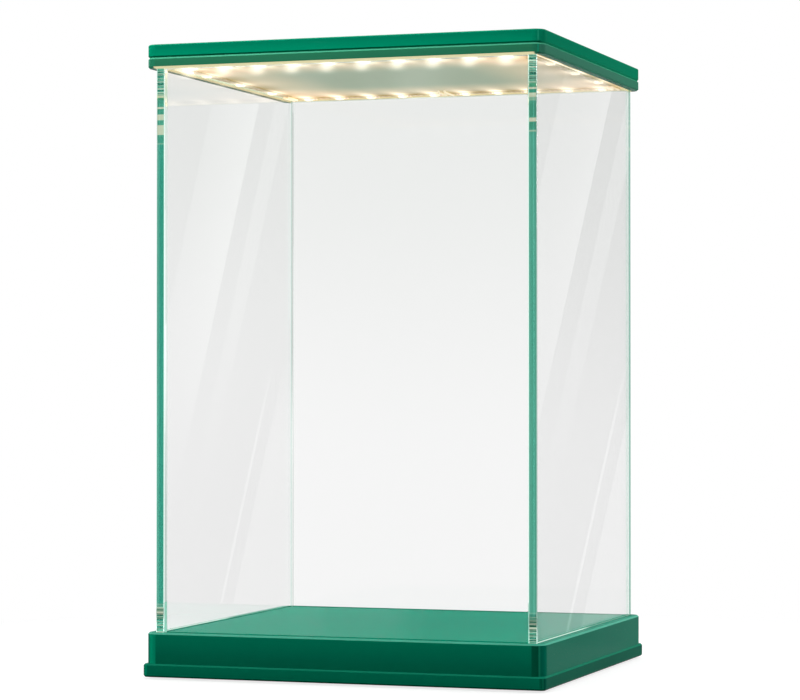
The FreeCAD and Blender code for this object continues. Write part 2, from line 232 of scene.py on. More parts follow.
def glow_of_lights(finish, long_spread, side_spread):
    """Closeness to the nearest light of the four rows: a soft patch that is 1 at the light's middle."""
    x, y, _ = finish.axes()
    spots = []
    for along, along_spread, count, pitch, across, across_spread, line in (
            (x, long_spread[0], LONG_LIGHTS, long_pitch, y, long_spread[1], long_line),
            (y, side_spread[1], SIDE_LIGHTS, side_pitch, x, side_spread[0], side_line)):
        turns = along / pitch + count % 2 / 2
        offset = (turns.maths("FRACT", turns) - 0.5) * (pitch / along_spread)
        reach = (abs(across) - line) / across_spread
        square = offset * offset + reach * reach
        end = count * pitch / 2
        spots.append(square.maths("EXPONENT", square * -1.0) * finish.step(abs(along), end + MM, end - MM))
    return spots[0].maths("MAXIMUM", *spots)


def glow_of_rows(finish, reach, full=0.0):
    """Closeness to the four rows: soft bands, full near them, that end at a distance."""
    x, y, _ = finish.axes()
    rows = ((y, long_line), (x, side_line))
    bands = [finish.step(abs(abs(across) - line), reach, full) for across, line in rows]
    return bands[0] + bands[1]


def warm_wash(finish, shade=(0.0, 0.0, 0.0)):
    """Light that the rows throw on the ceiling and on what lies beside them: tan, and white at each light.
    The shade is the light that reaches a piece from everywhere else."""
    rows = glow_of_rows(finish, ROW_REACH, ROW_FULL)
    spots = glow_of_lights(finish, LONG_SPOT, SIDE_SPOT)
    halos = glow_of_lights(finish, LONG_HALO, SIDE_HALO)
    red, green, blue = [rows * row + spots * spot + halos * halo + base
                        for (row, spot, halo), base in zip(WASH, shade)]
    return finish.add("ShaderNodeCombineColor", None, {"Red": red, "Green": green, "Blue": blue})


# Lit places on the lid's underside. Seats and rabbets reach this far out from the panels, start a film
# above the underside, and end a little above the ceiling sheet. The rim's light reaches this far up the
# lower bevel, and ends this far inside the panels' outer faces.
SEAT_ROOM, SEAT_SOFT = 0.7 * MM, 0.1 * MM
SEAT_FILM = 0.04 * MM
SEAT_ABOVE_SHEET = 0.5 * MM
RIM_HEIGHT, RIM_SOFT = 0.8 * MM, 0.05 * MM
RIM_END, RIM_END_SOFT = 0.2 * MM, 0.5 * MM


def lit_recess(finish, green):
    """The colour of a green piece of the lid and the light it gives: tan in the seats and rabbets on the
    lid's underside, which the rows of lights shine into, and on the underside and lower bevel of its long
    sides, where that light comes out."""
    x, y, z = finish.axes()
    _, _, z_way = finish.facing()
    floor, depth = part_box("frame_front")[0].z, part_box("right_panel")[1].y
    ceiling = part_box("ceiling_sheet")[1].z
    recess = finish.band(z, floor + SEAT_FILM, ceiling + SEAT_ABOVE_SHEET, SEAT_FILM / 2)
    for way, face in ((x, outer_face), (y, depth)):
        edge = face + SEAT_ROOM
        recess = recess * finish.step(abs(way), edge + SEAT_SOFT, edge - SEAT_SOFT)
    rim = finish.band(z, floor - 4 * RIM_SOFT, floor + RIM_HEIGHT, RIM_SOFT)
    rim = rim * finish.step(z_way, -0.4, -0.6)
    end = outer_face - RIM_END
    rim = rim * finish.step(abs(x), end + RIM_END_SOFT, end - RIM_END_SOFT)
    green = finish.blend(recess.maths("MAXIMUM", recess, rim), green, colour(170, 160, 120))
    painted_glow = finish.blend(recess, (0, 0, 0, 1), colour(203, 191, 150))
    return green, finish.blend(rim, painted_glow, colour(196, 190, 152))


def green_acrylic(name, node, upper, lower, side, lit_turn_left, lit_turn_right, bevel, under, under_side,
                  glint, gloss):
    """Cast green sheet, flame-polished, in painted light and shade. The front fades from upper to lower over
    the node's height, the sides have their own painted tone, the rounded corners turn through two more and a
    painted glint, and bevels and undersides take painted highlights or shade."""
    finish = Finish(name)
    cloud = finish.noise(11.0, 3.0)
    speck = finish.noise(1400.0, 1.0)
    hairs = finish.noise(60.0, 3.0, (1.0, 9.0, 40.0))
    scuff = finish.step(hairs, 0.62, 0.72)
    low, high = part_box(node)
    _, _, z = finish.axes()
    x_way, _, z_way = finish.facing()
    # Painted light and shade: the front fades from the upper to the lower tone over the node's height, the
    # rounded corners take a painted shade and highlight, faces that turn to the sides a painted side tone,
    # and a painted glint lies where they turn.
    green = finish.blend(finish.step(z, high.z, low.z), colour(*upper), colour(*lower))
    green = finish.blend(finish.band(x_way, -0.55, -0.05, 0.04), green, colour(*lit_turn_left))
    green = finish.blend(finish.band(x_way, 0.05, 0.55, 0.04), green, colour(*lit_turn_right))
    green = finish.blend(finish.step(abs(x_way), 0.56, 0.64), green, colour(*side))
    green = finish.blend(finish.band(x_way, glint - 0.06, glint + 0.06, 0.04), green, colour(30, 150, 116))
    on_top = finish.step(z_way, 0.86, 0.96)
    green = finish.blend(on_top, green, colour(0, 126, 102))
    # Painted highlight or shade on the bevels, and painted shade or light on faces that look down.
    green = finish.blend(finish.band(z_way, 0.3, 0.86, 0.06), green, colour(*bevel))
    below = finish.step(z_way, -0.3, -0.5)
    green = finish.blend(below, green, colour(*under))
    green = finish.blend(below * finish.step(abs(x_way), 0.4, 0.6), green, colour(*under_side))
    green = finish.blend(finish.step(cloud, 0.3, 0.8) * 0.12, green, colour(0, 150, 110))
    green = finish.blend(scuff * 0.06, green, colour(70, 160, 130))
    # Painted light of the rows in the lid's recesses and under its rim.
    green, painted_glow = lit_recess(finish, green)
    rough = 0.14 + 0.08 * cloud + 0.10 * scuff + 0.25 * finish.step(z_way, 0.85, 0.95)
    ripple = finish.bump(cloud + 0.02 * speck + 0.04 * scuff, 0.06, 0.002)
    return finish.done(finish.principled(
        Base_Color=green, Roughness=rough, Normal=ripple, Specular_IOR_Level=gloss, IOR=ACRYLIC_IOR,
        Coat_Weight=0.08 * on_top, Coat_Roughness=0.25,
        Emission_Color=painted_glow, Emission_Strength=1.0))


def green_plastic():
    """Moulded plastic of the inlet's bezel, with a fine spark-eroded grain."""
    finish = Finish("green_plastic")
    grain = finish.noise(3500.0, 2.0)
    cloud = finish.noise(90.0, 2.0)
    # Painted light of the rows where the bezel lies in the lid's recesses.
    green, painted_glow = lit_recess(finish, finish.blend(cloud, colour(0, 96, 70), colour(8, 112, 84)))
    return finish.done(finish.principled(
        Base_Color=green, Roughness=0.38 + 0.2 * grain, Normal=finish.bump(grain, 0.25, 0.0002),
        Specular_IOR_Level=0.3, Emission_Color=painted_glow, Emission_Strength=1.0))


# Values of the panes' rim attribute
UPRIGHT_EDGE, EDGE_BEVEL, OTHER_EDGE = 1.0, 0.75, 0.5

# Painted reflections of lid, ceiling and base in the upright edges: how far the rungs reach from the panels'
# top and from the base, how far down the blocks reach, and a shift that gives the right edges another
# pattern
RUNGS, BLOCKS = 12.0 * MM, 33.0 * MM
RIGHT_SHIFT = 37.0 * MM


def edge_glow_and_reflections(finish, x, z, on_right):
    """Painted glow and reflections of the green upright edges, paler on the right panel: a painted highlight
    along their left, rungs of mirrored lid and ceiling near the top, longer cream blocks below them, and
    rungs again at the foot."""
    across = x + outer_face - on_right * (outer_face + inner_face)
    streak = finish.noise(700.0, 2.0, (1.0, 1.0, 0.02))
    darker = finish.blend(on_right, colour(14, 104, 86), colour(60, 128, 110))
    lighter = finish.blend(on_right, colour(26, 112, 95), colour(72, 136, 118))
    tone = finish.blend(finish.step(streak, 0.35, 0.65), darker, lighter)
    tone = finish.blend(finish.band(across, 0.5 * MM, 1.3 * MM, 0.3 * MM), tone, colour(74, 136, 121))
    mixed = z + on_right * RIGHT_SHIFT
    rungs = finish.ramp(
        finish.noise_along(mixed, 620.0), (0.36, colour(8, 52, 38)), (0.39, colour(36, 100, 80)),
        (0.46, colour(44, 108, 88)), (0.48, colour(184, 190, 172)), (0.53, colour(176, 180, 158)),
        (0.55, colour(8, 54, 40)), (0.62, colour(24, 84, 64)), (0.64, colour(80, 130, 108)))
    blocks = finish.ramp(
        finish.noise_along(mixed, 150.0), (0.40, colour(46, 112, 90)), (0.52, colour(60, 124, 102)),
        (0.54, colour(180, 174, 150)), (0.64, colour(190, 183, 160)), (0.66, colour(44, 110, 88)))
    below_top = panel_top - z
    tone = finish.blend(finish.step(below_top, BLOCKS + 3 * MM, BLOCKS - 3 * MM), tone, blocks)
    near_top = finish.step(below_top, RUNGS + MM, RUNGS - MM)
    near_foot = finish.step(z, deck + RUNGS + 2 * MM, deck + RUNGS - 2 * MM)
    return finish.blend(near_top.maths("MAXIMUM", near_top, near_foot), tone, rungs)


# Heights between which the panels' painted grey shade sets in, and the painted bright lines on the side
# panels' outer faces: their start and end above the base and below the top
HAZE = (0.09, 0.27)
FOOT_GLEAM, TOP_GLEAM = (0.1 * MM, 0.6 * MM), (0.6 * MM, 0.2 * MM)
GLEAM_SOFT = 0.05 * MM


def clear_acrylic():
    """Clear sheet. The rim attribute tells the edges of a pane from its faces. Painted glow stands for light
    that comes out of the sheet at the edges, the seams, the top and the foot, besides painted reflections,
    highlights and shade, and a painted shine of the lights on the front panel."""
    finish = Finish("clear_acrylic")
    x, y, z = finish.axes()
    x_way, _, z_way = finish.facing()
    front_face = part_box("front_panel")[1].y
    rim = finish.add("ShaderNodeAttribute", {"attribute_name": "rim"}, out="Fac")
    on_edge = finish.step(rim, UPRIGHT_EDGE - 0.15, UPRIGHT_EDGE - 0.05)
    smear = finish.noise(9.0, 2.0, (1.0, 1.0, 0.35))
    # Painted grey shade that grows towards the top, with a random part.
    shade = finish.step(z, *HAZE) * 0.8 + 0.2 * smear
    tint = finish.blend(shade, colour(251, 251, 251), colour(244, 245, 244))
    tint = finish.blend(finish.step(rim, 0.0, OTHER_EDGE), tint, colour(232, 240, 236))
    # The upright edges tint dark green at the front, and at the back a painted lighter tone, more so on the
    # right.
    behind = finish.step(y, -0.01, 0.01)
    on_right = x.maths("GREATER_THAN", x, 0.0)
    far_edge = finish.blend(on_right, colour(122, 182, 164), colour(62, 122, 100))
    tint = finish.blend(on_edge, tint, finish.blend(behind, colour(8, 62, 48), far_edge))
    # A painted tan shadow on the panes' top and foot faces.
    tint = finish.blend(finish.step(abs(z_way), 0.9, 0.95), tint, colour(186, 164, 122))
    # Painted glowing lines near the foot of the side panels' outer faces and, on the right, under their top.
    foot_line = finish.band(z, deck + FOOT_GLEAM[0], deck + FOOT_GLEAM[1], GLEAM_SOFT)
    top_line = finish.band(z, panel_top - TOP_GLEAM[0], panel_top - TOP_GLEAM[1], GLEAM_SOFT) * on_right
    lines = (foot_line + top_line) * finish.step(abs(x), outer_face - 0.5 * MM, outer_face - 0.2 * MM)
    painted_glow = finish.blend(lines, (0, 0, 0, 1), colour(206, 209, 204))
    # Painted highlights on the side panels' upright bevels, painted glow and reflections on their upright
    # edges, and less of it on the back edges.
    bevels = finish.band(rim, EDGE_BEVEL - 0.05, EDGE_BEVEL + 0.05, 0.05)
    painted_glow = finish.blend(bevels, painted_glow, colour(118, 140, 132))
    painted_glow = finish.blend(on_edge, painted_glow, edge_glow_and_reflections(finish, x, z, on_right))
    painted_glow = finish.blend(behind * 0.75, painted_glow, (0, 0, 0, 1))
    # Painted bright lines along the seams where the front and back panels meet the side panels.
    seam = finish.band(rim, OTHER_EDGE - 0.05, OTHER_EDGE + 0.05, 0.03)
    seam = seam * finish.step(abs(x_way), 0.9, 0.95)
    painted_glow = finish.blend(seam * (1 - 0.5 * behind), painted_glow, colour(126, 148, 139))
    # Painted shine of the lights near the top of the front panel.
    shine = glow_of_lights(finish, PANEL_SHINE, SIDE_SPOT)
    shine = shine * finish.step(z, panel_top - SHINE_DROP, panel_top - 0.3 * MM)
    shine = shine * finish.step(y, front_face + 0.3 * MM, front_face + 0.1 * MM)
    painted_glow = finish.blend(shine, painted_glow, (1.0, 0.95, 0.86, 1.0))
    glass = finish.principled(
        Base_Color=tint, Roughness=0.012 * smear * rim, IOR=PANE_IOR, Transmission_Weight=1.0,
        Emission_Color=painted_glow, Emission_Strength=1.0)
    passing = finish.add("ShaderNodeBsdfTransparent")
    ray = finish.add("ShaderNodeLightPath", out="Is Shadow Ray")
    return finish.done(finish.add("ShaderNodeMixShader", None, {0: ray, 1: glass, 2: passing}))


def opal_acrylic():
    """Pale ceiling sheet in a painted sage shade, olive near the rows, that the rows of lights wash with a
    painted warm glow.
    """
    finish = Finish("opal_acrylic")
    cloud = finish.noise(20.0, 3.0)
    # Painted shade: a sage cast over the pale sheet, and olive near the rows.
    shaded_sage = finish.blend(cloud, colour(190, 204, 178), colour(198, 211, 186))
    shaded_sage = finish.blend(glow_of_rows(finish, OLIVE_REACH), shaded_sage, colour(150, 156, 92))
    return finish.done(finish.principled(
        Base_Color=shaded_sage, Roughness=0.35 + 0.1 * cloud, Emission_Color=warm_wash(finish),
        Emission_Strength=1.0, Specular_IOR_Level=0.03))


def strip_white():
    """White flexible strip with faint copper tracks under its lacquer, tan with painted shade, and a painted
    glow beside each light.
    """
    finish = Finish("strip_white")
    tracks = finish.add("ShaderNodeTexWave", {"bands_direction": "DIAGONAL"},
                        {"Vector": finish.place, "Scale": 260.0, "Distortion": 1.5})
    # Tan instead of white: painted shade on the strip between the lights.
    white = finish.blend(finish.step(tracks, 0.4, 0.6) * 0.35, colour(180, 172, 118), colour(162, 150, 96))
    return finish.done(finish.principled(
        Base_Color=white, Roughness=0.3 + 0.15 * tracks, Emission_Color=warm_wash(finish),
        Emission_Strength=0.5, Normal=finish.bump(tracks, 0.1, 0.0001), Specular_IOR_Level=0.05))


def light_package():
    """Moulded white light body, brightest round its cup."""
    finish = Finish("light_package")
    grain = finish.noise(2500.0, 2.0)
    return finish.done(finish.principled(
        Base_Color=finish.blend(grain, colour(226, 218, 192), colour(234, 226, 202)),
        Roughness=0.4 + 0.1 * grain, Emission_Color=warm_wash(finish), Emission_Strength=0.5))


def light_window():
    """Yellow phosphor gel in the cup, lit to white."""
    finish = Finish("light_window")
    grain = finish.noise(4000.0, 2.0)
    glow = finish.blend(grain, colour(255, 240, 205), colour(255, 252, 238))
    return finish.done(finish.principled(
        Base_Color=finish.blend(grain, colour(244, 220, 120), colour(250, 232, 150)),
        Roughness=0.2 + 0.1 * grain, Emission_Color=glow, Emission_Strength=1.3))


def moulded(name, dark, light, roughness, scale=3000.0, depth=0.0002, specular=0.4):
    """Plain moulded or cut material: two close shades and a fine grain."""
    finish = Finish(name)
    grain = finish.noise(scale, 3.0)
    cloud = finish.noise(scale / 20, 2.0)
    return finish.done(finish.principled(
        Base_Color=finish.blend(cloud, colour(*dark), colour(*light)), Roughness=roughness + 0.15 * grain,
        Normal=finish.bump(grain, 0.3, depth), Specular_IOR_Level=specular))


def plated(name, dark, light, roughness, stretch):
    """Metal with drawing lines along one axis and slightly dulled patches."""
    finish = Finish(name)
    lines = finish.noise(900.0, 3.0, stretch)
    patch = finish.noise(260.0, 2.0)
    return finish.done(finish.principled(
        Base_Color=finish.blend(patch, colour(*dark), colour(*light)), Metallic=1.0,
        Roughness=roughness + 0.16 * lines + 0.08 * patch, Normal=finish.bump(lines, 0.15, 0.0001)))


def beside_lights(name, dark, light, metallic, roughness, shade=(0.0, 0.0, 0.0)):
    """Small parts on the strips and beside them, warmed by the lights next to them."""
    finish = Finish(name)
    grain = finish.noise(2600.0, 2.0)
    return finish.done(finish.principled(
        Base_Color=finish.blend(grain, colour(*dark), colour(*light)), Metallic=metallic,
        Roughness=roughness + 0.15 * grain, Emission_Color=warm_wash(finish, shade), Emission_Strength=1.0))


def board_laminate():
    """Green lacquered board with lighter tracks."""
    finish = Finish("board_laminate")
    tracks = finish.add("ShaderNodeTexBrick", {"offset": 0.35}, {
        "Vector": finish.place, "Scale": 90.0, "Mortar Size": 0.06, "Brick Width": 0.6,
        "Row Height": 0.22}, out="Fac")
    grain = finish.noise(2200.0, 2.0)
    green = finish.blend(tracks, colour(14, 74, 48), colour(40, 118, 82))
    return finish.done(finish.principled(
        Base_Color=green, Roughness=0.28 + 0.15 * grain, Normal=finish.bump(tracks, 0.2, 0.0001)))


# Stretches of a metal's drawing lines along one axis
DRAWN_IN_Y, DRAWN_IN_Z = (1.0, 0.06, 1.0), (1.0, 1.0, 0.1)

# The four green finishes are copies of one sheet, each with the painted light and shade of its place.
FINISHES = {
    "green_lid": green_acrylic(
        "green_lid", "lid_top", upper=(0, 117, 86), lower=(0, 134, 98), side=(6, 136, 100),
        lit_turn_left=(0, 128, 94), lit_turn_right=(0, 128, 94), bevel=(20, 140, 106), under=(0, 96, 70),
        under_side=(30, 160, 122), glint=0.5, gloss=0.0003),
    "green_frame": green_acrylic(
        "green_frame", "frame_front", upper=(42, 113, 82), lower=(38, 107, 78), side=(60, 132, 107),
        lit_turn_left=(36, 112, 83), lit_turn_right=(36, 112, 83), bevel=(78, 180, 142), under=(50, 130, 102),
        under_side=(70, 150, 122), glint=0.5, gloss=0.0015),
    "green_base": green_acrylic(
        "green_base", "base_block", upper=(0, 136, 103), lower=(0, 114, 86), side=(0, 124, 99),
        lit_turn_left=(0, 160, 120), lit_turn_right=(0, 96, 70), bevel=(84, 182, 154), under=(0, 84, 62),
        under_side=(0, 84, 62), glint=0.6, gloss=0.005),
    "green_plinth": green_acrylic(
        "green_plinth", "base_plinth", upper=(0, 130, 98), lower=(0, 124, 93), side=(6, 104, 82),
        lit_turn_left=(0, 150, 112), lit_turn_right=(0, 108, 80), bevel=(20, 134, 104), under=(0, 84, 62),
        under_side=(0, 84, 62), glint=0.6, gloss=0.0015),
    "green_plastic": green_plastic(),
    "clear_acrylic": clear_acrylic(),
    "opal_acrylic": opal_acrylic(),
    "strip_white": strip_white(),
    "light_package": light_package(),
    "light_window": light_window(),
    "resistor_black": beside_lights(
        "resistor_black", dark=(18, 18, 20), light=(34, 34, 36), metallic=0.0, roughness=0.35),
    "lead_white": beside_lights(
        "lead_white", dark=(206, 204, 190), light=(220, 218, 206), metallic=0.0, roughness=0.35,
        shade=(0.22, 0.26, 0.17)),
    "pad_tin": beside_lights(
        "pad_tin", dark=(186, 180, 166), light=(214, 208, 194), metallic=1.0, roughness=0.3),
    "board_laminate": board_laminate(),
    "socket_steel": plated(
        "socket_steel", dark=(168, 168, 166), light=(202, 202, 200), roughness=0.16, stretch=DRAWN_IN_Y),
    "screw_steel": plated(
        "screw_steel", dark=(120, 120, 122), light=(158, 158, 160), roughness=0.22, stretch=DRAWN_IN_Z),
    "insert_brass": plated(
        "insert_brass", dark=(176, 134, 62), light=(206, 166, 88), roughness=0.24, stretch=DRAWN_IN_Z),
    "black_plastic": moulded("black_plastic", dark=(14, 14, 15), light=(28, 28, 30), roughness=0.42),
    "foot_rubber": moulded(
        "foot_rubber", dark=(24, 26, 25), light=(40, 42, 41), roughness=0.7, scale=1800.0, depth=0.0004,
        specular=0.2),
}


GREEN_SHEET = {"lid_top": "green_lid", "base_block": "green_base", "base_plinth": "green_plinth"}


def finish_of(node, slot):
    """The finish of a slot. The green sheet has one for each place that it is used in, each with its own
    painted light and shade.
    """
    if slot != "green_acrylic":
        return FINISHES[slot]
    return FINISHES[GREEN_SHEET.get(node, "green_frame")]


def dress_frame():
    for node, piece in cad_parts.items():
        for slot in piece.material_slots:
            slot.material = finish_of(node, slot.material.name.split(".")[0])


def piece_of(name, mesh):
    made = bpy.data.objects.new(name, mesh)
    bpy.context.scene.collection.objects.link(made)
    return made


def mesh_of(shape, name):
    mesh = bpy.data.meshes.new(name)
    shape.to_mesh(mesh)
    shape.free()
    return mesh


def boxes(*corners, bevel=0.0):
    """Bevelled boxes between pairs of low and high corners."""
    shape = bmesh.new()
    for low, high in corners:
        low, high = Vector(low), Vector(high)
        place = Matrix.Translation((low + high) / 2) @ Matrix.Diagonal((*(high - low), 1))
        bmesh.ops.create_cube(shape, size=1, matrix=place)
    if bevel:
        bmesh.ops.bevel(shape, geom=shape.edges[:], offset=bevel, segments=2, profile=0.7, affect="EDGES")
    return shape


def make_pane(side, thin_axis):
    """One clear panel, a hair smaller than its node, with polished bevels. Its rim attribute is 0 on the
    two faces, and marks the side panels' upright edges, their bevels and all other edges."""
    low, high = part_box(f"{side}_panel")
    gap = Vector((PANE_GAP,) * 3)
    shape = boxes((low + gap, high - gap), bevel=PANE_BEVEL)
    mesh = mesh_of(shape, f"{side}_pane")
    rim = mesh.attributes.new("rim", "FLOAT", "FACE")
    for face, value in zip(mesh.polygons, rim.data):
        way = face.normal
        if abs(way[thin_axis]) < 0.99:
            upright = thin_axis == 0 and abs(way.z) < 0.1
            value.value = EDGE_BEVEL if upright else OTHER_EDGE
            if abs(way.y) > 0.99:
                value.value = UPRIGHT_EDGE
    mesh.materials.append(FINISHES["clear_acrylic"])
    pane = piece_of(f"{side}_pane", mesh)
    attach(pane, "cover")
    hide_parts(f"{side}_panel")


ROW_SIZES = ("Long count", "Long pitch", "Long line", "Side count", "Side pitch", "Side line", "Height",
             "To middle")


def rows_tree():
    """A node tree that sets copies of a unit along all four sides of the ceiling."""
    tree = bpy.data.node_groups.new("rows_on_four_sides", "GeometryNodeTree")
    for name in ROW_SIZES:
        kind = "NodeSocketInt" if name.endswith("count") else "NodeSocketFloat"
        tree.interface.new_socket(name, in_out="INPUT", socket_type=kind)
    tree.interface.new_socket("Unit", in_out="INPUT", socket_type="NodeSocketObject")
    tree.interface.new_socket("Finish", in_out="INPUT", socket_type="NodeSocketMaterial")
    tree.interface.new_socket("Rows", in_out="OUTPUT", socket_type="NodeSocketGeometry")
    nodes = Nodes(tree)
    inputs = nodes.add("NodeGroupInput")
    unit = nodes.add("GeometryNodeObjectInfo", None, {"Object": inputs.other("Unit")}, out="Geometry")
    turned = []
    for group, first_turn in (("Long", 0), ("Side", 1)):
        count, pitch = inputs.other(f"{group} count"), inputs.other(f"{group} pitch")
        start = nodes.add("ShaderNodeCombineXYZ", None, {
            "X": (1 - count) * pitch / 2, "Y": inputs.other(f"{group} line"), "Z": inputs.other("Height")})
        pace = nodes.add("ShaderNodeCombineXYZ", None, {"X": pitch})
        line = nodes.add("GeometryNodeMeshLine", None, {
            "Count": count, "Start Location": start, "Offset": pace})
        x = nodes.add("ShaderNodeSeparateXYZ", None, {0: nodes.add("GeometryNodeInputPosition")})
        beyond = x.maths("GREATER_THAN", x, -MM)
        inward = nodes.add("ShaderNodeCombineXYZ", None, {"X": inputs.other("To middle") * (1 - 2 * beyond)})
        line = nodes.add("GeometryNodeSetPosition", None, {"Geometry": line, "Offset": inward})
        row = nodes.add("GeometryNodeInstanceOnPoints", None, {"Points": line, "Instance": unit})
        for turn in (first_turn, first_turn + 2):
            spin = (0, 0, turn * math.pi / 2)
            turned.append(nodes.add("GeometryNodeTransform", None, {"Geometry": row, "Rotation": spin}))
    joined = nodes.add("GeometryNodeJoinGeometry", None, {0: turned})
    solid = nodes.add("GeometryNodeRealizeInstances", None, {0: joined})
    dressed = nodes.add("GeometryNodeSetMaterial", None, {
        "Geometry": solid, "Material": inputs.other("Finish")})
    nodes.add("NodeGroupOutput", None, {0: dressed})
    return tree


def set_rows(tree, name, shape, finish, replaced=(), slot=None, **sizes):
    """Runs the rows tree on a unit shape and keeps the result as a plain mesh on the lid."""
    unit = piece_of(f"{name}_unit", mesh_of(shape, f"{name}_unit"))
    host = piece_of(f"{name}_rows", bpy.data.meshes.new(f"{name}_rows"))
    modifier = host.modifiers.new("rows", "NODES")
    modifier.node_group = tree
    values = {
        "Long count": LONG_LIGHTS, "Long pitch": long_pitch, "Long line": long_line,
        "Side count": SIDE_LIGHTS, "Side pitch": side_pitch, "Side line": side_line,
        "Height": strip_face, "To middle": 0.0, "Unit": unit, "Finish": FINISHES[finish]}
    values.update({key.replace("_", " ").capitalize(): value for key, value in sizes.items()})
    for item in tree.interface.items_tree:
        if item.in_out == "INPUT":
            modifier[item.identifier] = values[item.name]
    evaluated = host.evaluated_get(bpy.context.evaluated_depsgraph_get())
    made = piece_of(name, bpy.data.meshes.new_from_object(evaluated))
    host.modifiers.remove(modifier)
    for spare in (host, unit):
        bpy.data.objects.remove(spare)
    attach(made, "lid")
    if replaced:
        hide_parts(*replaced)


def on_sides(stem):
    return [f"{stem}_{side}" for side in ("front", "back", "left", "right")]


def square_ring(shape, half, z, count):
    """Points round a square, as many as round the circle that it leads to."""
    ring = []
    for k in range(count):
        angle = 2 * math.pi * k / count
        reach = half / max(abs(math.cos(angle)), abs(math.sin(angle)))
        ring.append(shape.verts.new((reach * math.cos(angle), reach * math.sin(angle), z)))
    return ring


def round_ring(shape, radius, z, count):
    turns = [2 * math.pi * k / count for k in range(count)]
    return [shape.verts.new((radius * math.cos(a), radius * math.sin(a), z)) for a in turns]


def stacked(shape, rings):
    """Walls between rings of equal count, closed at both ends."""
    for lower, upper in zip(rings, rings[1:]):
        for k in range(len(lower)):
            after = (k + 1) % len(lower)
            shape.faces.new((lower[k], lower[after], upper[after], upper[k]))
    shape.faces.new(rings[0])
    shape.faces.new(rings[-1])
    bmesh.ops.recalc_face_normals(shape, faces=shape.faces[:])
    return shape


# Light bodies: points round the cup, its room round the window, its taper, and the body's chamfer
RING_POINTS = 24
CUP_ROOM = 0.05 * MM
CUP_TAPER = 0.93
BODY_CHAMFER = 0.15 * MM
cup_radius = (window_high.y - window_low.y) / 2 + CUP_ROOM
cup_depth = window_high.z - long_low.z

# The gel in a cup, as shares of the cup's radius and depth: its foot, its rim, and the rings of its dome
GEL_FOOT_WIDTH, GEL_FOOT_DEPTH = 0.92, 0.9
GEL_RIM_WIDTH, GEL_RIM_DEPTH = 0.96, 0.3
GEL_RINGS = (0.94, 0.7, 0.4, 0.12)
GEL_DOME = 0.08 * MM


def light_body():
    """A square light body that hangs down from the strip, with a round cup in its lower face."""
    shape = bmesh.new()
    half = light_size / 2
    low = -light_height
    return stacked(shape, [
        square_ring(shape, half, 0, RING_POINTS),
        square_ring(shape, half, low + BODY_CHAMFER, RING_POINTS),
        square_ring(shape, half - BODY_CHAMFER, low, RING_POINTS),
        round_ring(shape, cup_radius, low, RING_POINTS),
        round_ring(shape, cup_radius * CUP_TAPER, low + cup_depth, RING_POINTS)])


def light_gel():
    """The gel that fills a cup, slightly domed."""
    shape = bmesh.new()
    foot = cup_depth * GEL_FOOT_DEPTH - light_height
    rings = [round_ring(shape, cup_radius * GEL_FOOT_WIDTH, foot, RING_POINTS)]
    for share in GEL_RINGS:
        level = cup_depth * GEL_RIM_DEPTH - GEL_DOME * math.sqrt(1 - share * share) - light_height
        rings.append(round_ring(shape, cup_radius * share * GEL_RIM_WIDTH, level, RING_POINTS))
    return stacked(shape, rings)


# Legs of a light: how far they stand from its middle, half their width, their reach beyond its side, and how
# far they hang below the strip. A hair of room keeps them off the body and the strip.
LEG_PLACE, LEG_HALF, LEG_REACH, LEG_DROP = 0.85 * MM, 0.4 * MM, 0.25 * MM, 0.35 * MM
HAIR = 0.02 * MM
SMALL_BEVEL = 0.05 * MM


def light_legs():
    """Two tinned legs on each of two sides of a light body."""
    half = light_size / 2
    corners = []
    for side in (-1, 1):
        for x in (-LEG_PLACE, LEG_PLACE):
            y = sorted((side * (half + HAIR), side * (half + LEG_REACH)))
            corners.append(((x - LEG_HALF, y[0], -LEG_DROP), (x + LEG_HALF, y[1], -HAIR)))
    return boxes(*corners, bevel=SMALL_BEVEL)


resistor_low, resistor_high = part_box("resistors_back")
resistor_width = resistor_high.y - resistor_low.y
resistor_depth = strip_face - resistor_low.z
RESISTOR_HALF = 1.0 * MM
CAP_LENGTH = 0.36 * MM


def resistor_body():
    """The dark middle of a resistor."""
    half = RESISTOR_HALF - CAP_LENGTH - HAIR
    low = (-half, -resistor_width / 2, -resistor_depth)
    return boxes((low, (half, resistor_width / 2, 0)), bevel=SMALL_BEVEL)


def resistor_caps():
    """The two tinned ends of a resistor."""
    inner, half = RESISTOR_HALF - CAP_LENGTH, resistor_width / 2
    ends = ((-RESISTOR_HALF, -inner), (inner, RESISTOR_HALF))
    return boxes(*[((a, -half, -resistor_depth), (b, half, 0)) for a, b in ends], bevel=SMALL_BEVEL)


# Pads of a cut line: how far each lies from its middle, half its size, its height and its bevel
PAD_PLACE, PAD_HALF = (1.25 * MM, 1.2 * MM), (0.9 * MM, 0.6 * MM)
PAD_HEIGHT, PAD_BEVEL = 0.05 * MM, 0.02 * MM


def solder_pads():
    """Four tinned pads about a cut line of the strip."""
    long_half, wide_half = PAD_HALF
    corners = []
    for x in (-PAD_PLACE[0], PAD_PLACE[0]):
        for y in (-PAD_PLACE[1], PAD_PLACE[1]):
            low = (x - long_half, y - wide_half, -PAD_HEIGHT)
            corners.append((low, (x + long_half, y + wide_half, 0)))
    return boxes(*corners, bevel=PAD_BEVEL)


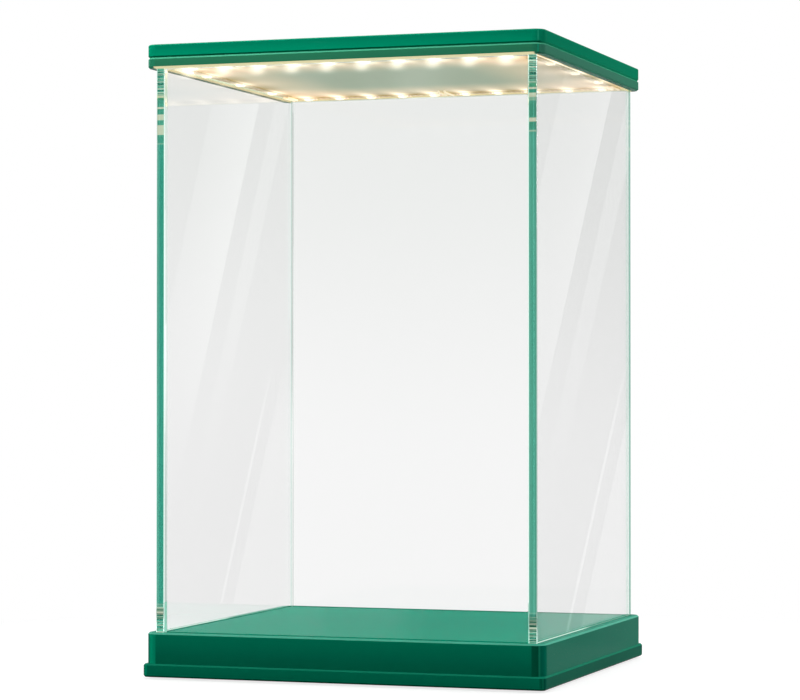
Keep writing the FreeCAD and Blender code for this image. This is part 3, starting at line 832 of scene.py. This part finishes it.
def make_lid_details():
    tree = rows_tree()
    set_rows(tree, "light_bodies", light_body(), "light_package", on_sides("lights"), "light_package")
    set_rows(tree, "light_gels", light_gel(), "light_window", on_sides("light_windows"), "light_window")
    set_rows(tree, "light_legs", light_legs(), "pad_tin")
    offset = (long_high.x - light_size / 2) - (resistor_high.x - RESISTOR_HALF)
    set_rows(tree, "resistor_bodies", resistor_body(), "resistor_black", on_sides("resistors"),
             "resistor_black", to_middle=offset)
    set_rows(tree, "resistor_caps", resistor_caps(), "pad_tin", to_middle=offset)
    set_rows(tree, "strip_pads", solder_pads(), "pad_tin",
             long_count=LONG_LIGHTS - 1, side_count=SIDE_LIGHTS - 1)


# The stage: the floor's size, how far from the middle it turns white, and the world's light on the case
FLOOR_SIZE = 12.0
FLOOR_FADE = (0.18, 0.34)
AMBIENT = 0.18


def seen_rays(nodes):
    """1 on rays that show a background: straight, mirrored or through something clear."""
    ray = nodes.add("ShaderNodeLightPath")
    seen = ray.maths("MAXIMUM", ray.other("Is Glossy Ray"), ray.other("Is Transmission Ray"))
    return seen.maths("MAXIMUM", seen, ray)


def make_floor():
    """Pale floor that keeps the shadow close to the case and turns white further out."""
    shape = bmesh.new()
    bmesh.ops.create_grid(shape, x_segments=1, y_segments=1, size=FLOOR_SIZE / 2)
    floor = piece_of("floor", mesh_of(shape, "floor"))
    finish = Finish("floor")
    distance = finish.add("ShaderNodeVectorMath", {"operation": "LENGTH"}, {0: finish.place}, out="Value")
    seen = seen_rays(finish)
    grain = finish.noise(30.0, 2.0)
    paper = finish.add("ShaderNodeBsdfDiffuse", None, {
        "Color": finish.blend(grain, colour(147, 147, 147), colour(150, 150, 150))})
    lift = finish.add("ShaderNodeEmission", None, {"Strength": seen * 0.77})
    near = finish.add("ShaderNodeAddShader", None, {0: paper, 1: lift})
    white = finish.add("ShaderNodeEmission", None, {"Strength": 1.0})
    far = finish.step(distance, *FLOOR_FADE) * seen
    mixed = finish.add("ShaderNodeMixShader", None, {0: far, 1: near, 2: white})
    floor.data.materials.append(finish.done(mixed))


def make_world():
    world = bpy.data.worlds.new("studio")
    world.use_nodes = True
    bpy.context.scene.world = world
    nodes = Nodes(world.node_tree)
    strength = AMBIENT + (1 - AMBIENT) * seen_rays(nodes)
    sky = nodes.add("ShaderNodeBackground", None, {"Color": (1, 1, 1, 1), "Strength": strength})
    nodes.add("ShaderNodeOutputWorld", None, {"Surface": sky})


def make_lamp(name, place, target, size, power):
    lamp = bpy.data.lights.new(name, "AREA")
    lamp.shape = "RECTANGLE"
    lamp.size, lamp.size_y = size
    lamp.energy = power
    made = bpy.data.objects.new(name, lamp)
    bpy.context.scene.collection.objects.link(made)
    made.location = place
    made.rotation_euler = (Vector(target) - Vector(place)).to_track_quat("-Z", "Y").to_euler()
    made.visible_camera = False
    made.visible_transmission = False


# Cards that only reflections show, upright behind the case: their place and height, and how far their
# pattern leans. A band has a start and an end in millimetres from the card's main edge, and its strength at
# each of them. Near the foot there are a line and a pale part beyond it. All of these fade over a range of
# heights.
CARD_BACK = 0.125
CARD_FOOT, CARD_TOP = 0.001, 0.33
CARD_LEAN = 0.229
GLARE_BANDS = ((0.0, 27.0, 0.55, 0.20), (-17.0, -9.0, 0.22, 0.22))
BAND_FADE = (0.05, 0.23)
FOOT_LINE = (-39.7 * MM, -38.4 * MM)
FOOT_BEYOND = (-45.4 * MM, -46.0 * MM)
FOOT_FADE = (0.16, 0.10)


def card(name, corners, tone):
    """A flat card that only mirrored rays see. The tone function gives its brightness."""
    shape = bmesh.new()
    shape.faces.new([shape.verts.new(corner) for corner in corners])
    made = piece_of(name, mesh_of(shape, name))
    finish = Finish(name)
    light = finish.add("ShaderNodeEmission", None, {"Color": tone(finish)})
    passing = finish.add("ShaderNodeBsdfTransparent")
    mirrored = finish.add("ShaderNodeLightPath", out="Glossy Depth")
    shown = mirrored.maths("GREATER_THAN", mirrored, 0.5)
    mixed = finish.add("ShaderNodeMixShader", None, {0: shown, 1: passing, 2: light})
    made.data.materials.append(finish.done(mixed))
    made.visible_camera = made.visible_diffuse = made.visible_shadow = False


def glare_card(name, left, right, edge, heights, tones, slope, gain, passes):
    """Grey card with leaning bright bands, close behind the case, for one side panel to mirror. The bands
    show only in the panel's nearer face, which rays reach through as many clear faces as passes says, so
    they have no double."""
    def tone(finish):
        x, _, z = finish.axes()
        across = x + CARD_LEAN * z
        passed = finish.add("ShaderNodeLightPath", out="Transmission Depth")
        nearer = passed.maths("LESS_THAN", passed, passes + 0.5) * gain
        bands = 0.0
        for start, end, strength, end_strength in GLARE_BANDS:
            start, end = edge + start * MM, edge + end * MM
            fade = finish.add("ShaderNodeMapRange", None, {
                "Value": across, "From Min": start, "From Max": end,
                "To Min": strength, "To Max": end_strength})
            bands = fade * finish.band(across, start, end, 0.25 * MM) + bands
        line = finish.band(across, edge + FOOT_LINE[0], edge + FOOT_LINE[1], 0.3 * MM)
        beyond = finish.step(across, edge + FOOT_BEYOND[0], edge + FOOT_BEYOND[1])
        foot = finish.step(z, *FOOT_FADE) * (0.35 * line + 0.22 * beyond)
        base = finish.step(z, *heights, *tones) + slope * finish.step(across, edge, edge + 30 * MM)
        return base + nearer * (bands * finish.step(z, *BAND_FADE) + foot)

    places = ((left, CARD_FOOT), (right, CARD_FOOT), (right, CARD_TOP), (left, CARD_TOP))
    card(name, [(x, CARD_BACK, z) for x, z in places], tone)


def make_camera():
    lens = bpy.data.cameras.new("camera")
    lens.lens = VIEW_LENS
    lens.sensor_width = SENSOR_WIDTH
    camera = bpy.data.objects.new("camera", lens)
    bpy.context.scene.collection.objects.link(camera)
    back = Vector((math.sin(VIEW_YAW) * math.cos(VIEW_PITCH), -math.cos(VIEW_YAW) * math.cos(VIEW_PITCH),
                   math.sin(VIEW_PITCH)))
    camera.location = VIEW_TARGET + VIEW_DISTANCE * back
    camera.rotation_euler = (-back).to_track_quat("-Z", "Y").to_euler()
    bpy.context.scene.camera = camera


def make_studio():
    scene = bpy.context.scene
    scene.view_settings.view_transform = "Standard"
    scene.cycles.use_denoising = True
    scene.cycles.max_bounces = 32
    scene.cycles.transmission_bounces = 32
    scene.cycles.glossy_bounces = 16
    scene.cycles.transparent_max_bounces = 32
    make_world()
    make_floor()
    make_lamp("lid_lamp", place=(-0.05, -0.26, 0.40), target=(0, -0.09, 0.283), size=(0.5, 0.08), power=0.75)
    make_lamp("top_lamp", place=(0.0, 0.1, 1.3), target=(0, 0, 0), size=(1.2, 1.2), power=10.0)
    make_lamp("right_lamp", place=(0.75, 0.80, 0.55), target=(0, 0, 0.15), size=(0.6, 0.6), power=8.0)
    make_lamp("left_lamp", place=(-1.1, -0.2, 0.35), target=(0, 0, 0.15), size=(0.5, 0.5), power=5.0)
    glare_card("left_glare", left=-0.085, right=0.03, edge=0.014, heights=(0.05, 0.20), tones=(0.32, 0.6),
               slope=0.0, gain=2.1, passes=4)
    glare_card("right_glare", left=0.097, right=0.17, edge=0.175, heights=(0.08, 0.27), tones=(0.62, 0.53),
               slope=0.1, gain=1.0, passes=0)
    make_camera()


dress_frame()
for pane_side, pane_axis in (("front", 1), ("back", 1), ("left", 0), ("right", 0)):
    make_pane(pane_side, pane_axis)
make_lid_details()
make_studio()
